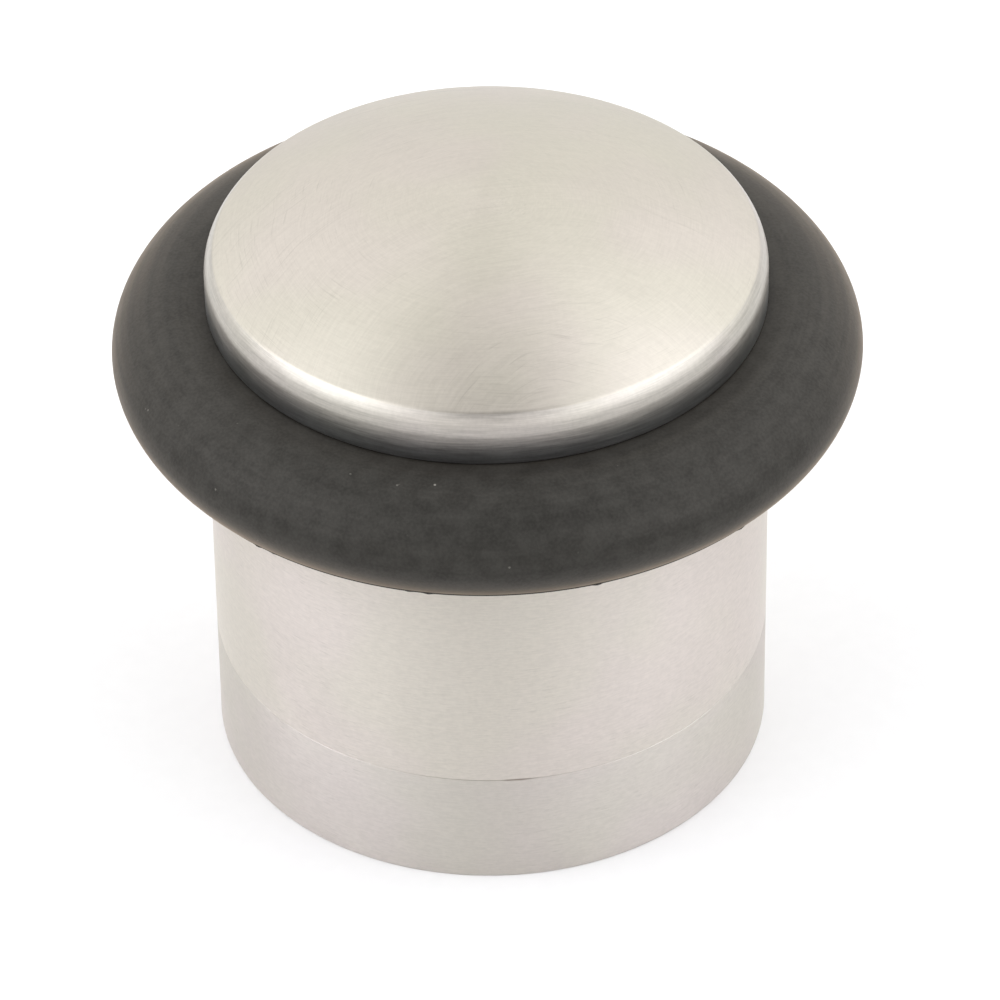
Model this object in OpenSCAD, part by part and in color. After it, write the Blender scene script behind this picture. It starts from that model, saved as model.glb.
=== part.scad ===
// Floor-mounted door stop with a domed head and a rubber buffer ring.
//
// The base is screwed to the floor, and the body screws down over its
// threaded spigot and hides the screw. The head clamps to the body from
// inside, and its neck carries the buffer ring, which is free to turn.
//
// Millimetres, +Z up. The origin is the middle of the face that stands
// on the floor. Threads are plain cylinders with a running clearance.

/* [Overall] */
// Diameter of the base and the sleeve
body_d = 30; // [28:0.5:34]
// Height of the base's visible rim
base_h = 6.8; // [6.8:0.1:8]
// Height of the sleeve, from the base up to the buffer ring's groove
sleeve_h = 14.7; // [14.5:0.1:18]
// Break on the edges where two turned pieces meet
edge_break = 0.12; // [0.05:0.01:0.3]

/* [Buffer ring] */
// Outer diameter of the rubber ring
ring_d = 39.8; // [38:0.2:44]
// Height of the rubber ring
ring_h = 6.5; // [5:0.1:8]
// How far the rounded part of its section reaches in from the outside
ring_round = 4.2; // [3:0.1:4.8]
// Exponent of the section's curve: 2 is an ellipse, and less is more pointed
ring_power = 1.87; // [1.6:0.01:2.4]
// Diameter of the neck that the ring turns on
neck_d = 20; // [18:0.5:22]
// Clearance above, below and inside the ring
ring_gap = 0.05; // [0.03:0.01:0.1]

/* [Head] */
// Diameter of the head
head_d = 29.7; // [27.8:0.1:34]
// Height of the upright part of the head's rim
rim_h = 0.3; // [0.2:0.1:2]
// Radius of the rounding above it
rim_round = 7.8; // [2:0.1:9]
// Angle that the rounding turns through before it meets the dome
crease_angle = 19.1; // [15:0.1:40]
// Angle that the dome makes with the horizontal at its edge
dome_angle = 24; // [10:1:30]

/* [Base] */
// Diameter of the spigot, at its thread's mean diameter
spigot_d = 19.2; // [19:0.1:19.6]
// Height of the spigot above the rim
spigot_h = 8.5; // [8:0.1:9]
// Diameter of the hole for the floor screw
screw_hole_d = 5.5; // [4.5:0.1:6]
// Diameter of the countersink for the floor screw's head
countersink_d = 10.5; // [9:0.1:11]
// Diameter of the cup around the floor screw's head
cup_d = 14; // [13:0.1:15]

/* [Clamp screw] */
// Thread diameter of the screw that holds the head
clamp_d = 6; // [5:1:6]
// Length of the screw under its head
clamp_length = 12; // [10:1:14]

/* [Hidden] */
$fn = 96;

body_r = body_d / 2;
sleeve_top = base_h + sleeve_h;
groove_h = ring_h + 2 * ring_gap;
head_z = sleeve_top + groove_h;

// Head: the rounding's centre, the crease and the dome's sphere
head_r = head_d / 2;
round_r = head_r - rim_round;
round_z = head_z + rim_h;
crease_r = round_r + rim_round * cos(crease_angle);
crease_z = round_z + rim_round * sin(crease_angle);
dome_r = crease_r / sin(dome_angle);
dome_z = crease_z - dome_r * cos(dome_angle);
pilot_r = 6;
pilot_h = 1;
tapped_depth = 8;

// Base: recess for the pad, O-ring groove and relief at the thread's root
pad_inner_r = 5;
pad_outer_r = 12.5;
pad_h = 1;
pad_gap = 0.05;
cup_z = base_h + 1;
cup_r = cup_d / 2;
screw_hole_r = screw_hole_d / 2;
countersink_r = countersink_d / 2;
spigot_r = spigot_d / 2;
spigot_z = base_h + spigot_h;
spigot_chamfer = 0.6;
cord_r = 0.75;
cord_gap = 0.02;
oring_z = base_h + 1.1;
oring_r = spigot_r - 0.3;
oring_groove_h = 2 * cord_r + 0.2;

// Sleeve: counterbore over the O-ring, threaded bore, cavity and web
thread_gap = 0.1;
bore_r = spigot_r + thread_gap;
seal_bore_r = oring_r + cord_r + cord_gap;
seal_bore_h = 2.2;
web_h = 3;
web_z = sleeve_top - web_h;
ledge_z = spigot_z + 0.4;
cavity_r = 8;

// Clamp screw and its washers, stacked down from the web
washer_h = 1.6;
washer_r = 6;
spring_h = 1.6;
spring_r = 5.9;
spring_slit = 0.7;
slit_lean = 20;
button_r = 5.25;
button_h = 3.3;
socket_flats = 4;
socket_depth = 2;
clamp_gap = 0.05;
flat_washer_z = web_z - washer_h;
spring_washer_z = flat_washer_z - spring_h;

eps = 0.01;

// A pipe from z0 to z1, for stacking turned shapes
module tube(outer, inner, z0, z1) {
    translate([0, 0, z0]) difference() {
        cylinder(r = outer, h = z1 - z0);
        translate([0, 0, -eps]) cylinder(r = inner, h = z1 - z0 + 2 * eps);
    }
}

// A disc from z0 to z1 with its outer edges broken, low and high
module turned_disc(r, z0, z1, low, high) {
    rotate_extrude() polygon([[0, z0], [r - low, z0], [r, z0 + low],
                              [r, z1 - high], [r - high, z1], [0, z1]]);
}

// The round cord of an O-ring
module cord_loop(r, cord) {
    rotate_extrude() translate([r, 0]) circle(r = cord);
}

// Base: rim, spigot, cup and countersink, with the pad's recess below
module base_disc() {
    color("#cfc9bf") difference() {
        union() {
            turned_disc(body_r, 0, base_h, edge_break, edge_break);
            turned_disc(spigot_r, base_h - eps, spigot_z, 0, spigot_chamfer);
        }
        translate([0, 0, oring_z]) tube(spigot_r + 1, oring_r - cord_r - cord_gap,
                                        -oring_groove_h / 2, oring_groove_h / 2);
        translate([0, 0, cup_z]) cylinder(r = cup_r, h = spigot_h + 1);
        countersunk_hole();
        tube(pad_outer_r, pad_inner_r, -1, pad_h);
    }
}

// The floor screw's hole, straight below and countersunk at the cup's floor
module countersunk_hole() {
    sink = countersink_r - screw_hole_r;
    translate([0, 0, -1]) cylinder(r = screw_hole_r, h = cup_z + 2);
    translate([0, 0, cup_z - sink])
        cylinder(r1 = screw_hole_r, r2 = countersink_r + eps, h = sink + eps);
}

// Thin rubber pad let into the base, round a boss for the screw
module base_pad() {
    color("#2b2b2b") tube(pad_outer_r - pad_gap, pad_inner_r + pad_gap, 0, pad_h);
}

// O-ring that grips the sleeve's counterbore, so that the body can't work loose
module lock_o_ring() {
    color("#3a2f2c") translate([0, 0, oring_z]) cord_loop(oring_r, cord_r);
}

// Sleeve: the visible cylinder, threaded inside, with a web under the head
module body_sleeve() {
    color("#d2ccc2") difference() {
        turned_disc(body_r, base_h, sleeve_top, edge_break, edge_break);
        translate([0, 0, base_h - eps]) cylinder(r = seal_bore_r, h = seal_bore_h + eps);
        cylinder(r = bore_r, h = ledge_z);
        cylinder(r = cavity_r, h = web_z);
        cylinder(r = clamp_d / 2 + 0.3, h = sleeve_top + 1);
        translate([0, 0, sleeve_top - pilot_h - 0.1]) cylinder(r = pilot_r + clamp_gap, h = 2);
    }
}

// Plain washer under the web
module flat_washer() {
    color("#b9b9b6") tube(washer_r, clamp_d / 2 + 0.2, flat_washer_z, web_z);
}

// Split spring washer, drawn flat as it is when tight
module spring_washer() {
    color("#8f8f8c") difference() {
        tube(spring_r, clamp_d / 2 + 0.1, spring_washer_z, flat_washer_z);
        translate([spring_r / 2, 0, spring_washer_z + spring_h / 2])
            rotate([slit_lean, 0, 0])
                cube([spring_r + 1, spring_slit, 2 * spring_h], center = true);
    }
}

// Button-head socket screw, put in from below
module clamp_screw() {
    crown_r = (button_r * button_r + button_h * button_h) / (2 * button_h);
    color("#a9a9a6") difference() {
        union() {
            intersection() {
                translate([0, 0, spring_washer_z - button_h + crown_r]) sphere(r = crown_r);
                translate([0, 0, spring_washer_z - button_h]) cylinder(r = button_r, h = button_h);
            }
            turned_disc(clamp_d / 2 - clamp_gap, spring_washer_z - eps,
                        spring_washer_z + clamp_length, 0, 0.5);
        }
        translate([0, 0, spring_washer_z - button_h - eps])
            cylinder(d = socket_flats / cos(30), h = socket_depth + eps, $fn = 6);
    }
}

// Half section of the head: rim and rounding, cut by the dome, with its neck
module head_section() {
    intersection() {
        union() {
            translate([0, head_z]) square([round_r, 2 * head_r]);
            translate([0, head_z]) square([head_r, rim_h]);
            translate([round_r, round_z]) circle(r = rim_round);
        }
        translate([0, head_z]) square([head_r, 2 * head_r]);
        translate([0, dome_z]) circle(r = dome_r, $fn = 360);
    }
    translate([0, sleeve_top]) square([neck_d / 2, groove_h + eps]);
    translate([0, sleeve_top - pilot_h]) square([pilot_r, pilot_h + eps]);
}

// Domed head with the neck that carries the ring, tapped from below
module domed_head() {
    color("#d6d0c6") difference() {
        rotate_extrude() head_section();
        translate([0, 0, sleeve_top - pilot_h - 1])
            cylinder(r = clamp_d / 2, h = tapped_depth + pilot_h + 1);
    }
}

// One point of the ring's outer curve, from -90 degrees (below) to 90 (above)
function ring_point(a) = [
    ring_d / 2 - ring_round + ring_round * pow(cos(a), 2 / ring_power),
    ring_h / 2 * sign(sin(a)) * pow(abs(sin(a)), 2 / ring_power)
];

// Rubber buffer ring: a D section whose flat side turns on the neck
module rubber_ring() {
    bore = neck_d / 2 + ring_gap;
    color("#45433f") translate([0, 0, sleeve_top + groove_h / 2]) rotate_extrude()
        polygon(concat([[bore, -ring_h / 2]],
                       [for (a = [-90 : 5 : 90]) ring_point(a)],
                       [[bore, ring_h / 2]]));
}

base_disc();
base_pad();
lock_o_ring();
body_sleeve();
flat_washer();
spring_washer();
clamp_screw();
domed_head();
rubber_ring();
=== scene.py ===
"""Looks of the floor door stop: turned satin steel pieces and a rubber buffer ring.

Every shown piece is built here as a fine mesh in the place of its CAD node, and
rides on that node's body. Metres, in the row frame, unless a name ends in _MM.
"""

import math

import bmesh
import bpy
import numpy as np
from mathutils import Matrix, Vector


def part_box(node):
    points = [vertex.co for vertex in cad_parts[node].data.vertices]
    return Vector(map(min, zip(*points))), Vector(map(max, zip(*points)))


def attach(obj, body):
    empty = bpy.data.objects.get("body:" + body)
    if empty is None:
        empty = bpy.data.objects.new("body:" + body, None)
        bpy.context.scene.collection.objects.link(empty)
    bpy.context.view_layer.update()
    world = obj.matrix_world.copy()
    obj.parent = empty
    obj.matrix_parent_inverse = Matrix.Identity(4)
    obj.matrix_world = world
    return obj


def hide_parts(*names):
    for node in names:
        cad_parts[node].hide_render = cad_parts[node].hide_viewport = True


MM = 0.001
SEGMENTS = 384

# Camera
CAMERA_DISTANCE = 0.363
CAMERA_ELEVATION = 38.3
CAMERA_ROLL = 0.80
CAMERA_PIVOT = (0, 0, 0.018)
CAMERA_AIM = (0.00055, 0, 0.0138)
CAMERA_LENS = 243.6

# Light: directions are azimuth (0 is +Y, 90 is +X) and elevation
SKY_LEVEL = 1.28
# The floor's colour is painted light: pale in a pool round its middle, painted darker further out
# to the front and sides
FLOOR_TONE = 0.85
FLOOR_PAINTED_DIM_TONE = 0.36
FLOOR_MIDDLE = (0, 0.2, 0)
FLOOR_SHAPE = (1.8, 1, 1)
FLOOR_REACH = (0.226, 0.42)
SKY_COLOUR = (1.0, 0.995, 0.980)
LAMP_COLOUR = (0.965, 0.99, 1.075)
SKY_PARTS = (  # azimuth, elevation, inner and outer half angle, change in level
    (180, 82, 4, 34, -0.52),
    (180, 43, 8, 30, -0.81),
    (-50, 35, 5, 35, 0.20),
    (50, 35, 5, 35, 0.28),
    (-108, 32, 8, 36, 1.35),
    (-92, 54, 5, 26, 0.66),
    (108, 30, 8, 34, 1.10),
    (80, 58, 5, 26, 0.85),
    (-140, 25, 5, 30, 0.35),
    (140, 25, 5, 30, 0.50),
)

# Polishing arcs on the head: each set's centre, and how far it wanders
HEAD_ARCS = (((0, 0), 1.0), ((6.0, -24.0), 1.2))

# Painted shade on the head's rim, darkest at its foot by the rubber ring, fading out between
# two heights, and what it leaves of the steel's colour; dirt: a stain at the seam's radius and
# height
RIM_PAINTED_SHADE_HEIGHTS = (28.3, 30.1)
RIM_PAINTED_SHADE_COLOUR = (0.50, 0.54, 0.59, 1)
SEAM = (15.0, 6.8)
STAIN_COLOUR = (0.20, 0.15, 0.11, 1)

# Turned pieces: names without a unit are in millimetres or degrees
EDGE = 0.12
SEAM_EDGE = 0.05
RIM_HEIGHT = 1.6
HEAD_ROUND = 2.0
ROLL_ANGLE = 38
ROLL_ROUND = 0.5

# Threads: pitch, root and crest radius; the sleeve's is THREAD_GAP wider
BODY_THREAD = (1.5, 9.22, 9.98)
SCREW_THREAD = (1.0, 2.42, 2.95)
THREAD_GAP = 0.08
THREAD_STEP = 1 / 40
THREAD_MARK = -1.0
HEX_MARK = -2.0
SOCKET_FLATS = 4.0
SLIT_LEAN = 20

# Rubber ring: its section's curve, and the flash that its mould leaves
RING_ROUND = 4.2
RING_POWER = 1.87
FLASH_ANGLE = -42.5
FLASH_HEIGHT = 0.06
NUB_HEIGHT = 0.07
RING_SEGMENTS = 768

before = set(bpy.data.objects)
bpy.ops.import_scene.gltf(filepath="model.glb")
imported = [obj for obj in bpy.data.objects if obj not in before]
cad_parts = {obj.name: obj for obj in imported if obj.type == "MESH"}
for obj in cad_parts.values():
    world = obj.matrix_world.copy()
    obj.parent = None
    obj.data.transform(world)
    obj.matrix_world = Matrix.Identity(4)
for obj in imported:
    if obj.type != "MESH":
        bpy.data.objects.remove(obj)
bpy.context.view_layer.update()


def size_of(node):
    """(largest radius, lowest z, highest z) of a CAD node, in millimetres."""
    low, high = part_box(node)
    return high.x / MM, low.z / MM, high.z / MM


# ---------------------------------------------------------------- meshes


def arc(centre, radius, start, end, count):
    """Points in a half section on an arc, angles in degrees from the outward axis."""
    angles = np.radians(np.linspace(start, end, count))
    return [(centre[0] + radius * math.cos(a), centre[1] + radius * math.sin(a)) for a in angles]


def lathe(name, section, closed=False, segments=SEGMENTS, shape=None, sharp=32):
    """A mesh turned about Z from a half section of (radius, height) points in millimetres.

    An open section starts and ends on the axis. shape(r, angle, z) may move a point, and
    settles those whose radius is a mark.
    """
    made = bmesh.new()
    rings = []
    for r, z in section:
        if abs(r) < 1e-9:
            rings.append([made.verts.new((0, 0, z * MM))])
            continue
        ring = []
        for i in range(segments):
            a = 2 * math.pi * i / segments
            rr, zz = shape(r, a, z) if shape else (r, z)
            ring.append(made.verts.new((rr * math.cos(a) * MM, rr * math.sin(a) * MM, zz * MM)))
        rings.append(ring)
    pairs = list(zip(rings, rings[1:]))
    if closed:
        pairs.append((rings[-1], rings[0]))
    for low, high in pairs:
        for i in range(segments):
            j = (i + 1) % segments
            corners = [low[i % len(low)], low[j % len(low)],
                       high[j % len(high)], high[i % len(high)]]
            corners = [c for n, c in enumerate(corners) if c not in corners[:n]]
            if len(corners) > 2:
                made.faces.new(corners)
    bmesh.ops.recalc_face_normals(made, faces=made.faces)
    mesh = bpy.data.meshes.new(name)
    made.to_mesh(mesh)
    made.free()
    return finish_mesh(mesh, sharp)


def finish_mesh(mesh, sharp):
    """An object of the mesh, shaded smooth but for edges over `sharp` degrees."""
    mesh.polygons.foreach_set("use_smooth", [True] * len(mesh.polygons))
    mesh.set_sharp_from_angle(angle=math.radians(sharp))
    obj = bpy.data.objects.new(mesh.name, mesh)
    bpy.context.scene.collection.objects.link(obj)
    return obj


def place(obj, node, body, material):
    """Puts a finished piece in the place of a CAD node."""
    obj.data.materials.append(material)
    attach(obj, body)
    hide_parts(node)
    return obj


# ---------------------------------------------------------------- materials


def node(tree, kind, inputs=None, **settings):
    """A shader node with its settings and its inputs, each a value or another's socket."""
    made = tree.nodes.new("ShaderNode" + kind)
    for key, value in settings.items():
        setattr(made, key, value)
    for key, value in (inputs or {}).items():
        if isinstance(value, bpy.types.NodeSocket):
            tree.links.new(value, made.inputs[key])
        else:
            made.inputs[key].default_value = value
    return made


def maths(tree, operation, a, b=0.0, clamp=False):
    return node(tree, "Math", {0: a, 1: b}, operation=operation, use_clamp=clamp).outputs[0]


def remap(tree, value, low, high, to_low, to_high):
    """value taken smoothly from low..high to to_low..to_high."""
    made = node(tree, "MapRange", {0: value, 1: low, 2: high, 3: to_low, 4: to_high},
                interpolation_type="SMOOTHSTEP")
    return made.outputs[0]


def blank(name):
    """A new material's tree and its Principled shader."""
    material = bpy.data.materials.new(name)
    material.use_nodes = True
    tree = material.node_tree
    return material, tree, tree.nodes["Principled BSDF"]


def around(tree, along, across, centre=(0, 0), wander=0.0):
    """Coordinates for arcs round an upright axis: `along` per radian, `across` per millimetre.

    Distance across the arcs is radius less height, so it runs over faces and walls alike.
    wander, in millimetres, takes the arcs off true.
    """
    place_ = node(tree, "TexCoord").outputs["Object"]
    drift = noise(tree, place_, scale=140.0, detail=1.0)
    place_ = node(tree, "VectorMath", {0: place_, 1: (centre[0] * MM, centre[1] * MM, 0)},
                  operation="SUBTRACT").outputs[0]
    split = node(tree, "SeparateXYZ", {0: place_})
    flat = node(tree, "CombineXYZ", {0: split.outputs[0], 1: split.outputs[1], 2: 0.0}).outputs[0]
    way = node(tree, "VectorMath", {0: flat}, operation="NORMALIZE").outputs[0]
    way = node(tree, "VectorMath", {0: way, "Scale": along}, operation="SCALE").outputs[0]
    radius = node(tree, "VectorMath", {0: flat}, operation="LENGTH").outputs["Value"]
    depth = maths(tree, "SUBTRACT", radius, split.outputs[2])
    depth = maths(tree, "ADD", depth, maths(tree, "MULTIPLY", drift, wander * MM))
    depth = maths(tree, "MULTIPLY", depth, across / MM)
    lift = node(tree, "CombineXYZ", {0: 0.0, 1: 0.0, 2: depth}).outputs[0]
    return node(tree, "VectorMath", {0: way, 1: lift}, operation="ADD").outputs[0]


def noise(tree, vector, scale=1.0, detail=3.0, roughness=0.5):
    return node(tree, "TexNoise", {"Vector": vector, "Scale": scale, "Detail": detail,
                                   "Roughness": roughness}).outputs[0]


def from_axis(tree, place_):
    """Distance from the piece's upright axis."""
    flat = node(tree, "VectorMath", {0: place_, 1: (1, 1, 0)}, operation="MULTIPLY").outputs[0]
    return node(tree, "VectorMath", {0: flat}, operation="LENGTH").outputs["Value"]


def above_floor(tree, place_):
    return node(tree, "SeparateXYZ", {0: place_}).outputs[2]


def tint(tree, colour, value, low, high):
    """colour, made `low` to `high` times as bright as value goes from 0.3 to 0.7."""
    share = remap(tree, value, 0.3, 0.7, low, high)
    return node(tree, "VectorMath", {0: colour, "Scale": share}, operation="SCALE").outputs[0]


def blend_colour(tree, factor, a, b):
    """a where factor is 0 and b where it is 1."""
    made = node(tree, "Mix", data_type="RGBA", blend_type="MIX")
    for socket, value in zip((made.inputs[0], made.inputs[6], made.inputs[7]), (factor, a, b)):
        if isinstance(value, bpy.types.NodeSocket):
            tree.links.new(value, socket)
        else:
            socket.default_value = value
    return made.outputs[2]


def satin_steel(name, colour, rough, grain=1.0, aniso=0.5, stroke=1.0, arcs=(((0, 0), 0.0),),
                painted_rim_shade=None, stain=None):
    """Satin-finished stainless steel.

    arcs are the centres, in millimetres, that the polishing marks run round, and how far
    each set of them wanders; stroke is how long the marks are. painted_rim_shade is the two
    heights, in millimetres, between which a painted shade, darkest at the foot of the rim,
    fades out. stain is the radius and the height of a seam with dirt in it here and there.
    """
    material, tree, shader = blank(name)
    place_ = node(tree, "TexCoord").outputs["Object"]
    fine, scratches = 0.0, 0.0
    for centre, wander in arcs:
        marks = noise(tree, around(tree, 14.0 / stroke, 11.0, centre, wander), detail=3.0)
        fine = maths(tree, "ADD", fine, maths(tree, "MULTIPLY", marks, 1 / len(arcs)))
        lone = noise(tree, around(tree, 9.0 / stroke, 16.0, centre, 2 * wander), detail=1.0)
        scratches = maths(tree, "ADD", scratches, remap(tree, lone, 0.64, 0.74, 0.0, 1.0))
    tooth = noise(tree, place_, scale=5200.0, detail=2.0)
    clouds = noise(tree, place_, scale=210.0, detail=3.0)
    mottle = noise(tree, place_, scale=2600.0, detail=2.0)
    patches = remap(tree, noise(tree, place_, scale=130.0, detail=1.0), 0.46, 0.58, 0.15, 1.0)
    scratches = maths(tree, "MULTIPLY", scratches, patches)
    hue = noise(tree, node(tree, "VectorMath", {0: place_, 1: (0.05, 0.02, 0.07)},
                           operation="ADD").outputs[0], scale=110.0, detail=2.0)
    pink = (colour[0] * 1.008, colour[1] * 0.994, colour[2] * 1.010, 1)
    green = (colour[0] * 0.993, colour[1] * 1.004, colour[2] * 0.982, 1)
    paint = blend_colour(tree, remap(tree, hue, 0.36, 0.64, 0.0, 1.0), green, pink)
    paint = tint(tree, paint, clouds, 0.985, 1.012)
    paint = tint(tree, paint, mottle, 1 - 0.012 * grain, 1 + 0.011 * grain)
    shade = maths(tree, "SUBTRACT", 1.0, maths(tree, "MULTIPLY", scratches, 0.11 * grain))
    paint = node(tree, "VectorMath", {0: paint, "Scale": shade}, operation="SCALE").outputs[0]
    paint = tint(tree, paint, fine, 1 - 0.048 * grain, 1 + 0.042 * grain)
    paint = tint(tree, paint, tooth, 1 - 0.010 * grain, 1 + 0.010 * grain)
    # Painted shade: the rim's steel colour is made darker towards its foot by the rubber ring,
    # with a ragged edge
    if painted_rim_shade:
        ragged = maths(tree, "MULTIPLY", fine, 0.4 * MM)
        level = maths(tree, "ADD", above_floor(tree, place_), ragged)
        share = remap(tree, level, (painted_rim_shade[0] + 0.2) * MM, (painted_rim_shade[1] + 0.2) * MM, 0.0, 1.0)
        share = blend_colour(tree, share, RIM_PAINTED_SHADE_COLOUR, (1, 1, 1, 1))
        paint = node(tree, "VectorMath", {0: paint, 1: share}, operation="MULTIPLY").outputs[0]
    if stain:
        off = maths(tree, "SUBTRACT", above_floor(tree, place_), stain[1] * MM)
        off = maths(tree, "ABSOLUTE", off)
        patch = remap(tree, noise(tree, place_, scale=230.0, detail=3.0), 0.54, 0.66, 0.0, 0.60)
        share = maths(tree, "MULTIPLY", patch, remap(tree, off, 0.02 * MM, 0.11 * MM, 1.0, 0.0))
        edge = remap(tree, from_axis(tree, place_), (stain[0] - 0.3) * MM,
                     (stain[0] - 0.1) * MM, 0.0, 1.0)
        share = maths(tree, "MULTIPLY", share, edge)
        paint = blend_colour(tree, share, paint, STAIN_COLOUR)
    spread = maths(tree, "ADD", remap(tree, fine, 0.3, 0.7, rough - 0.03, rough + 0.03),
                   remap(tree, clouds, 0.3, 0.7, -0.02, 0.02))
    height = maths(tree, "SUBTRACT", maths(tree, "ADD", fine, maths(tree, "MULTIPLY", tooth, 0.4)),
                   maths(tree, "MULTIPLY", scratches, 0.5))
    bump = node(tree, "Bump", {"Height": height, "Strength": 0.22 * grain, "Distance": 6e-6})
    tangent = node(tree, "Tangent", direction_type="RADIAL", axis="Z").outputs[0]
    links = {"Base Color": paint, "Roughness": spread, "Normal": bump.outputs[0],
             "Tangent": tangent}
    for key, value in links.items():
        tree.links.new(value, shader.inputs[key])
    shader.inputs["Metallic"].default_value = 1.0
    shader.inputs["Anisotropic"].default_value = aniso
    shader.inputs["Anisotropic Rotation"].default_value = 0.25
    return material


def rubber(name, colour, rough, dust=1.0):
    """Moulded black rubber: mottled, with faint flow lines and specks of dust."""
    material, tree, shader = blank(name)
    place_ = node(tree, "TexCoord").outputs["Object"]
    mottle = noise(tree, place_, scale=900.0, detail=4.0)
    fine = noise(tree, place_, scale=6000.0, detail=2.0)
    flow = noise(tree, around(tree, 1.2, 1.6), detail=2.0)
    specks = node(tree, "TexVoronoi", {"Vector": place_, "Scale": 1300.0}, feature="F1")
    dots = remap(tree, specks.outputs["Distance"], 0.05, 0.11, dust, 0.0)
    inside = remap(tree, from_axis(tree, place_), 0.0150, 0.0165, 0.09, 0.0)
    few = noise(tree, place_, scale=520.0, detail=2.0)
    few = remap(tree, maths(tree, "ADD", few, inside), 0.60, 0.66, 0.0, 1.0)
    dots = maths(tree, "MULTIPLY", dots, few)
    paint = tint(tree, colour, mottle, 0.85, 1.18)
    paint = tint(tree, paint, flow, 0.93, 1.08)
    paint = blend_colour(tree, dots, paint, (0.20, 0.19, 0.17, 1))
    spread = remap(tree, mottle, 0.3, 0.7, rough - 0.04, rough + 0.05)
    bump = node(tree, "Bump", {"Height": fine, "Strength": 0.45, "Distance": 1e-5})
    for key, value in {"Base Color": paint, "Roughness": spread,
                       "Normal": bump.outputs[0]}.items():
        tree.links.new(value, shader.inputs[key])
    level = maths(tree, "ADD", remap(tree, fine, 0.3, 0.7, 0.24, 0.34),
                  remap(tree, mottle, 0.3, 0.7, -0.02, 0.05))
    level = maths(tree, "ADD", level, remap(tree, flow, 0.36, 0.64, -0.01, 0.01))
    bloom = remap(tree, flow, 0.36, 0.64, 0.22 * dust, 0.32 * dust)
    tree.links.new(bloom, shader.inputs["Sheen Weight"])
    tree.links.new(level, shader.inputs["Specular IOR Level"])
    shader.inputs["Specular Tint"].default_value = (1.0, 0.93, 0.84, 1)
    shader.inputs["Sheen Roughness"].default_value = 0.35
    shader.inputs["Sheen Tint"].default_value = (1.0, 0.73, 0.46, 1)
    return material


# ---------------------------------------------------------------- pieces


def dome_over(centre, radius, top):
    """(radius, edge angle) of the sphere with its top at `top` that meets an arc smoothly."""
    rise = top - centre[1]
    dome_r = (centre[0] ** 2 + rise ** 2 - radius ** 2) / (2 * (rise - radius))
    return dome_r, math.degrees(math.atan2(dome_r - rise, centre[0]))


def make_head(material, rim_material):
    outer, low, top = size_of("domed_head")
    neck_r = 10.0
    pilot_r = 6.0
    pilot_top = low + 1.0
    tapped_r = 3.0
    tapped_top = 29.5
    rim_z = size_of("rubber_ring")[2] + 0.05
    round_r = outer - HEAD_ROUND
    round_z = rim_z + RIM_HEIGHT
    turn = math.radians(ROLL_ANGLE)
    roll_centre = (round_r + (HEAD_ROUND - ROLL_ROUND) * math.cos(turn),
                   round_z + (HEAD_ROUND - ROLL_ROUND) * math.sin(turn))
    crease_z = roll_centre[1] + ROLL_ROUND * math.sin(math.radians(45))
    dome_r, edge_angle = dome_over(roll_centre, ROLL_ROUND, top)
    roll = arc(roll_centre, ROLL_ROUND, ROLL_ANGLE, edge_angle, 20)
    dome = roll[1:] + arc((0, top - dome_r), dome_r, edge_angle, 90, 48)[1:]
    dome[-1] = (0, top)
    section = [(0, tapped_top), (tapped_r - 0.1, tapped_top), (tapped_r, tapped_top - 0.1),
               (tapped_r, low + 0.3), (tapped_r + 0.3, low), (pilot_r - 0.1, low),
               (pilot_r, low + 0.1), (pilot_r, pilot_top), (neck_r, pilot_top),
               (neck_r, rim_z), (outer - SEAM_EDGE, rim_z)]
    section += arc((outer - SEAM_EDGE, rim_z + SEAM_EDGE), SEAM_EDGE, -90, 0, 5)[1:]
    section += arc((round_r, round_z), HEAD_ROUND, 0, ROLL_ANGLE, 18)
    section += dome
    head = place(lathe("domed_head_turned", section), "domed_head", "body", material)
    head.data.materials.append(rim_material)
    for face in head.data.polygons:
        if face.center.z < crease_z * MM:
            face.material_index = 1
    return head


def thread_radius(thread, angle, z):
    """Radius of a right-hand thread: a flat root and crest with 60 degree flanks between."""
    pitch, root, crest = thread
    flank = (crest - root) * math.tan(math.radians(30)) / pitch
    flat = 0.5 - flank
    off_crest = 2 * abs((z / pitch - angle / (2 * math.pi)) % 1 - 0.5)
    height = (1 - flat - off_crest) / (1 - 2 * flat)
    return root + (crest - root) * min(max(height, 0), 1)


def thread_rows(thread, start, end):
    """Rows of a section, marked as thread, from one height to the other."""
    count = round(abs(end - start) / (thread[0] * THREAD_STEP))
    return [(THREAD_MARK, z) for z in np.linspace(start, end, count)]


def make_sleeve(material):
    outer, low, top = size_of("body_sleeve")
    seal = 10.07
    seal_top = low + 2.2
    ledge = 15.7
    relief = BODY_THREAD[2] + THREAD_GAP - 0.01
    cavity_r = 8.0
    web_z = 18.5
    hole_r = 3.3
    pilot_r = 6.05
    pilot_z = top - 1.1

    def shape(r, angle, z):
        if r == THREAD_MARK:
            r = max(thread_radius(BODY_THREAD, angle, z) + THREAD_GAP, seal - (z - seal_top))
        return r, z

    section = [(hole_r + EDGE, web_z), (cavity_r, web_z), (cavity_r, ledge + EDGE),
               (cavity_r + EDGE, ledge), (relief, ledge)]
    section += thread_rows(BODY_THREAD, ledge - 0.35, seal_top)
    section += [(seal, low + 0.3), (seal + 0.3, low), (outer - SEAM_EDGE, low)]
    section += arc((outer - SEAM_EDGE, low + SEAM_EDGE), SEAM_EDGE, -90, 0, 5)[1:]
    section += arc((outer - EDGE, top - EDGE), EDGE, 0, 90, 5)
    section += [(pilot_r + EDGE, top), (pilot_r, top - EDGE), (pilot_r, pilot_z),
                (hole_r + EDGE, pilot_z), (hole_r, pilot_z - EDGE), (hole_r, web_z + EDGE)]
    turned = lathe("body_sleeve_turned", section, closed=True, shape=shape)
    return place(turned, "body_sleeve", "body", material)


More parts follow.
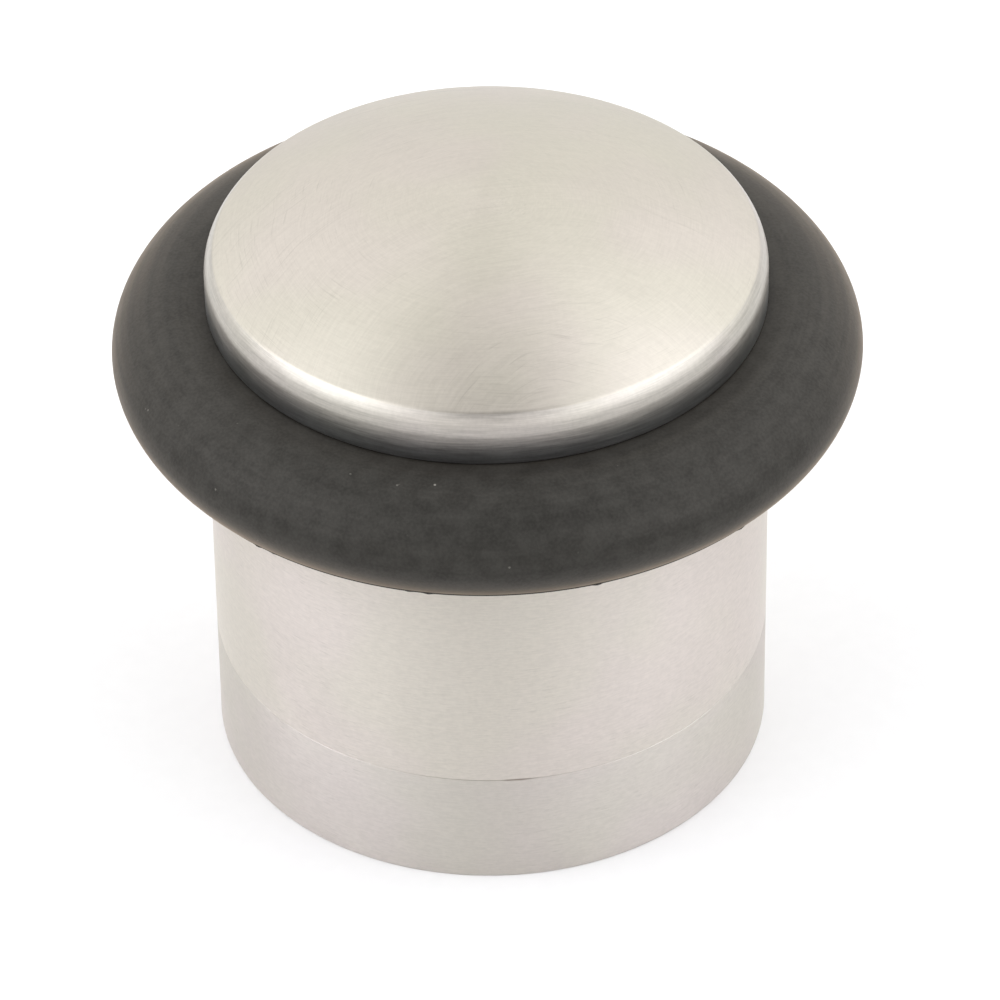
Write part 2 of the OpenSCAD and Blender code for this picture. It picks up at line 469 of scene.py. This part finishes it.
def make_base(material):
    outer, low, top = size_of("base_disc")
    rim = 6.8
    land = 9.6
    groove = 8.53
    groove_low = 7.05
    groove_top = 8.75
    root = 9.2
    hole_r = 2.75
    sink_r = 5.25
    sink_z = 5.3
    cup_r = 7.0
    cup_z = 7.8
    boss_r = 5.0
    recess_r = 12.5
    recess_z = low + 1

    def shape(r, angle, z):
        if r == THREAD_MARK:
            r = min(thread_radius(BODY_THREAD, angle, z), root + (z - 8.95), 9.0 + (top - z))
        return r, z

    section = [(hole_r, low + EDGE), (hole_r + EDGE, low), (boss_r, low), (boss_r, recess_z),
               (recess_r, recess_z), (recess_r, low), (outer - EDGE, low)]
    section += arc((outer - EDGE, low + EDGE), EDGE, -90, 0, 5)[1:]
    section += arc((outer - SEAM_EDGE, rim - SEAM_EDGE), SEAM_EDGE, 0, 90, 5)
    section += [(land, rim), (land, groove_low - 0.05), (land - 0.05, groove_low),
                (groove + 0.1, groove_low), (groove, groove_low + 0.1),
                (groove, groove_top - 0.1), (groove + 0.1, groove_top),
                (land - 0.05, groove_top), (land, groove_top + 0.05), (land, 8.9), (root, 8.95)]
    section += thread_rows(BODY_THREAD, 8.97, top)
    section += [(cup_r + EDGE, top), (cup_r, top - EDGE), (cup_r, cup_z + 0.1),
                (cup_r - 0.1, cup_z), (sink_r, cup_z), (hole_r, sink_z)]
    turned = lathe("base_disc_turned", section, closed=True, shape=shape)
    return place(turned, "base_disc", "base", material)


def nubs(angle):
    """How much of a nub the ring's flash has at an angle: mostly none, and 1 at the most."""
    wave = math.sin(41 * angle + 0.6) * math.sin(67 * angle + 2.1) + 0.5 * math.sin(13 * angle)
    return max(0.0, wave - 0.85) / 0.65


def make_ring(material):
    """The ring, with the line of flash that its mould leaves underneath."""
    outer, low, top = size_of("rubber_ring")
    half = (top - low) / 2
    middle = (top + low) / 2
    bore = 10.05
    near = 4.0
    steps = (-1.2, -0.6, -0.25, 0, 0.25, 0.6, 1.2)
    angles = list(np.linspace(-90, 90, 73))
    angles = [a for a in angles if abs(a - FLASH_ANGLE) > 1.3]
    angles += [FLASH_ANGLE + step for step in steps]

    def curve_point(a):
        along = math.cos(math.radians(a))
        up = math.sin(math.radians(a))
        return (outer - RING_ROUND + RING_ROUND * abs(along) ** (2 / RING_POWER),
                middle + half * math.copysign(abs(up) ** (2 / RING_POWER), up))

    curve = [curve_point(a) for a in sorted(angles)]
    flash = curve_point(FLASH_ANGLE)

    def shape(r, angle, z):
        off = math.hypot(r - flash[0], z - flash[1])
        if off < near * FLASH_HEIGHT and r > bore:
            share = max(0.0, 1 - off / FLASH_HEIGHT)
            lift = (FLASH_HEIGHT + NUB_HEIGHT * nubs(angle)) * share
            r, z = r + 0.64 * lift, z - 0.77 * lift
        return r, z

    section = [(bore + EDGE, low)] + curve + [(bore + EDGE, top), (bore, top - EDGE),
                                              (bore, low + EDGE)]
    moulded = lathe("rubber_ring_moulded", section, closed=True, segments=RING_SEGMENTS,
                    shape=shape, sharp=60)
    return place(moulded, "rubber_ring", "buffer", material)


def make_pad(material):
    """The pad, with shallow grooves below that grip the floor."""
    outer, low, top = size_of("base_pad")
    inner = 5.05
    soft = 0.1
    grooves, width, depth = (6.3, 7.8, 9.3, 10.8), 0.5, 0.3
    section = [(inner, low + soft), (inner + soft, low)]
    for r in grooves:
        section += [(r - soft, low), (r, low + soft), (r + soft, low + depth),
                    (r + width - soft, low + depth), (r + width, low + soft),
                    (r + width + soft, low)]
    section += [(outer - soft, low), (outer, low + soft), (outer, top), (inner, top)]
    moulded = lathe("base_pad_moulded", section, closed=True)
    return place(moulded, "base_pad", "base", material)


def make_o_ring(material):
    """The O-ring, with the fine flash of its mould inside and outside."""
    outer, low, top = size_of("lock_o_ring")
    cord = (top - low) / 2
    centre = (outer - cord, (top + low) / 2)
    section = arc(centre, cord, 0, 360, 61)[:-1]
    section[0] = (section[0][0] + 0.015, section[0][1])
    section[30] = (section[30][0] - 0.015, section[30][1])
    moulded = lathe("lock_o_ring_moulded", section, closed=True, sharp=70)
    return place(moulded, "lock_o_ring", "o_ring", material)


def soft_box(inner, outer, low, high, soft, steps=4):
    """A closed rectangular section with rounded corners."""
    section = arc((inner + soft, low + soft), soft, 180, 270, steps)
    section += arc((outer - soft, low + soft), soft, 270, 360, steps)
    section += arc((outer - soft, high - soft), soft, 0, 90, steps)
    return section + arc((inner + soft, high - soft), soft, 90, 180, steps)


def make_flat_washer(material):
    outer, low, top = size_of("flat_washer")
    stamped = lathe("flat_washer_stamped", soft_box(3.2, outer, low, top, 0.15), closed=True,
                    segments=192)
    return place(stamped, "flat_washer", "body", material)


def make_spring_washer(material):
    """A coil of one turn, cut by a slit that leans."""
    outer, low, top = size_of("spring_washer")
    slope = math.radians(SLIT_LEAN)
    slit = 0.35 / math.cos(slope)
    section = soft_box(3.1, outer, low, top, 0.12)
    count = 180
    verts, faces = [], []
    for step in range(count + 1):
        for r, z in section:
            lean = (z - (low + top) / 2) * math.tan(slope)
            start = math.asin((slit - lean) / r)
            end = 2 * math.pi - math.asin((slit + lean) / r)
            a = start + (end - start) * step / count
            verts.append((r * math.cos(a) * MM, r * math.sin(a) * MM, z * MM))
    wide = len(section)
    for step in range(count):
        for i in range(wide):
            j = (i + 1) % wide
            at = step * wide
            faces.append((at + i, at + wide + i, at + wide + j, at + j))
    faces += [tuple(range(wide)), tuple(range(count * wide, (count + 1) * wide))[::-1]]
    mesh = bpy.data.meshes.new("spring_washer_coiled")
    mesh.from_pydata(verts, [], faces)
    coiled = finish_mesh(mesh, 32)
    return place(coiled, "spring_washer", "body", material)


def make_screw(material):
    """The button-head screw: crown and hexagon socket below, thread above."""
    outer, low, top = size_of("clamp_screw")
    seat = low + 3.3
    crown_r = (outer ** 2 + (seat - low) ** 2) / (2 * (seat - low))
    crown_z = low + crown_r
    mouth = 2.45
    shank_r = 2.95
    shank_top = seat + 2.5
    socket_z = low + 2.0
    mouth_angle = -math.degrees(math.acos(mouth / crown_r))
    edge_angle = -math.degrees(math.asin((crown_z - seat) / crown_r))
    mouth_z = crown_z + crown_r * math.sin(math.radians(mouth_angle))

    def shape(r, angle, z):
        if r == HEX_MARK:
            sector = math.pi / 3
            r = SOCKET_FLATS / 2 / math.cos((angle + sector / 2) % sector - sector / 2)
        if r == THREAD_MARK:
            r = min(thread_radius(SCREW_THREAD, angle, z), 2.5 + (top - z))
        return r, z

    section = [(0, socket_z + 0.25), (1.6, socket_z), (HEX_MARK, socket_z),
               (HEX_MARK, mouth_z + 0.15)]
    section += arc((0, crown_z), crown_r, mouth_angle, edge_angle - 1.5, 24)
    section += [(outer, seat - 0.02), (outer - 0.05, seat), (shank_r, seat), (shank_r, shank_top)]
    section += thread_rows(SCREW_THREAD, shank_top + 0.05, top)
    section += [(0, top)]
    forged = lathe("clamp_screw_forged", section, segments=192, shape=shape)
    return place(forged, "clamp_screw", "body", material)


steel_head = satin_steel("Head_satin_steel", (0.532, 0.497, 0.443), 0.34, stroke=2.0,
                         arcs=HEAD_ARCS)
# The rim's colour holds a painted shade towards its foot, by the rubber ring
steel_rim = satin_steel("Rim_satin_steel", (0.515, 0.485, 0.445), 0.38, grain=1.8, aniso=0.2,
                        stroke=2.0, painted_rim_shade=RIM_PAINTED_SHADE_HEIGHTS)
steel_sleeve = satin_steel("Sleeve_satin_steel", (0.610, 0.568, 0.524), 0.50, aniso=0.75,
                           stroke=0.5, stain=SEAM)
steel_base = satin_steel("Base_satin_steel", (0.560, 0.525, 0.490), 0.50, aniso=0.75,
                         stroke=0.5, stain=SEAM)
steel_plain = satin_steel("Fastener_steel", (0.44, 0.43, 0.41), 0.35)
buffer_rubber = rubber("Buffer_rubber", (0.0185, 0.0183, 0.0168), 0.50)
seal_rubber = rubber("Seal_rubber", (0.012, 0.011, 0.010), 0.45, dust=0.0)

make_head(steel_head, steel_rim)
make_sleeve(steel_sleeve)
make_base(steel_base)
make_ring(buffer_rubber)
make_pad(seal_rubber)
make_o_ring(seal_rubber)
make_flat_washer(steel_plain)
make_spring_washer(steel_plain)
make_screw(steel_plain)


# ---------------------------------------------------------------- studio


def make_camera():
    elevation = math.radians(CAMERA_ELEVATION)
    place_ = Vector(CAMERA_PIVOT) + CAMERA_DISTANCE * Vector((0, -math.cos(elevation),
                                                              math.sin(elevation)))
    camera = bpy.data.objects.new("Camera", bpy.data.cameras.new("Camera"))
    camera.data.lens = CAMERA_LENS
    camera.data.sensor_width = 36
    camera.data.clip_start = 0.01
    camera.data.clip_end = 20
    look = (Vector(CAMERA_AIM) - place_).to_track_quat("-Z", "Y").to_matrix().to_4x4()
    roll = Matrix.Rotation(math.radians(-CAMERA_ROLL), 4, "Z")
    camera.matrix_world = Matrix.Translation(place_) @ look @ roll
    bpy.context.scene.collection.objects.link(camera)
    bpy.context.scene.camera = camera


def make_floor():
    mesh = bpy.data.meshes.new("Floor")
    half = 3.0
    mesh.from_pydata([(-half, -half, 0), (half, -half, 0), (half, half, 0), (-half, half, 0)],
                     [], [(0, 1, 2, 3)])
    floor = bpy.data.objects.new("Floor", mesh)
    bpy.context.scene.collection.objects.link(floor)
    material, tree, shader = blank("Floor_paper_painted_light_pool")
    place_ = node(tree, "TexCoord").outputs["Object"]
    away = node(tree, "VectorMath", {0: place_, 1: FLOOR_MIDDLE}, operation="SUBTRACT").outputs[0]
    away = node(tree, "VectorMath", {0: away, 1: FLOOR_SHAPE}, operation="MULTIPLY").outputs[0]
    away = node(tree, "VectorMath", {0: away}, operation="LENGTH").outputs["Value"]
    # Painted pool of light: the floor is pale near its middle and painted darker further out
    share = remap(tree, away, FLOOR_REACH[0], FLOOR_REACH[1], FLOOR_TONE, FLOOR_PAINTED_DIM_TONE)
    grain = noise(tree, place_, scale=900.0, detail=2.0)
    paint = node(tree, "CombineXYZ", {0: share, 1: share, 2: share}).outputs[0]
    tree.links.new(tint(tree, paint, grain, 0.995, 1.005), shader.inputs["Base Color"])
    shader.inputs["Roughness"].default_value = 0.9
    shader.inputs["Specular IOR Level"].default_value = 0.1
    floor.data.materials.append(material)


def towards(azimuth, elevation):
    """A unit vector: azimuth 0 is +Y and 90 is +X, in degrees."""
    a, e = math.radians(azimuth), math.radians(elevation)
    return Vector((math.sin(a) * math.cos(e), math.cos(a) * math.cos(e), math.sin(e)))


def make_world():
    """A white tent, with soft darker and lighter parts as SKY_PARTS says."""
    world = bpy.data.worlds.new("Studio")
    bpy.context.scene.world = world
    world.use_nodes = True
    tree = world.node_tree
    way = node(tree, "TexCoord").outputs["Generated"]
    light = Vector(SKY_COLOUR) * SKY_LEVEL
    for azimuth, elevation, inner, outer, amount in SKY_PARTS:
        near = node(tree, "VectorMath", {0: way, 1: towards(azimuth, elevation)},
                    operation="DOT_PRODUCT").outputs["Value"]
        share = remap(tree, near, math.cos(math.radians(outer)), math.cos(math.radians(inner)),
                      0.0, amount)
        colour = LAMP_COLOUR if amount > 0 else SKY_COLOUR
        part = node(tree, "VectorMath", {0: colour, "Scale": share}, operation="SCALE").outputs[0]
        light = node(tree, "VectorMath", {0: light, 1: part}, operation="ADD").outputs[0]
    tree.links.new(light, tree.nodes["Background"].inputs["Color"])


make_camera()
make_floor()
make_world()
bpy.context.scene.view_settings.view_transform = "Standard"
